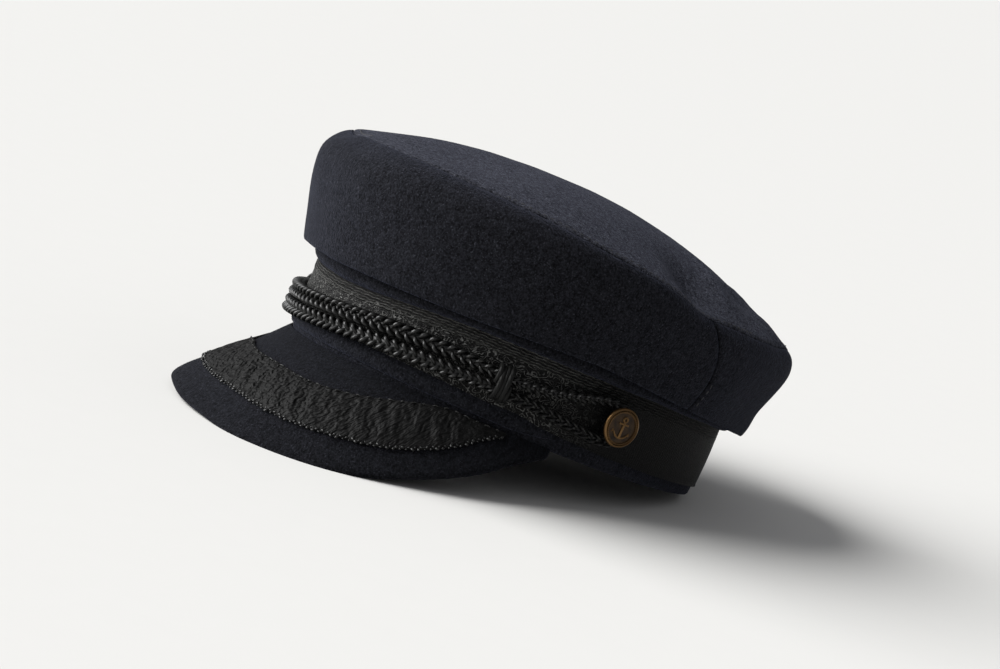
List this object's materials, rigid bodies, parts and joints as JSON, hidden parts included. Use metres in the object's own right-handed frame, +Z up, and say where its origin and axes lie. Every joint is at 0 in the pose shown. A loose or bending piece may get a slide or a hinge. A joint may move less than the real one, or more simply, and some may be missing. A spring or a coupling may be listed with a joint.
{
  "type": "sailor cap",
  "caption": "Soft wool sailor cap with an arched peak, woven band ribbon, gathered peak trim and a doubled braided cord held by brass shank buttons.",
  "frame": {"origin": "on the floor under the middle of the cap's box, the cap standing on the back of its rim and the edge of its peak", "axes": "-Y towards the peak, +X towards the wearer's left, +Z up"},
  "size_m": [0.2022, 0.281, 0.1265],
  "materials": {
    "wool": "matte felted wool with a short nap",
    "ribbon_weave": "black woven ribbon, half matte",
    "cord_satin": "black satin braid",
    "brass": "aged, dark in the hollows"
  },
  "bodies": {
    "root": {"crown_top": "wool", "crown_front": "wool", "crown_back": "wool", "band": "wool", "band_ribbon": "ribbon_weave", "peak": "wool", "peak_trim": "ribbon_weave", "cord_loop": "cord_satin", "knot_left": "cord_satin", "knot_right": "cord_satin", "button_left": "brass", "button_right": "brass"}
  },
  "joints": []
}
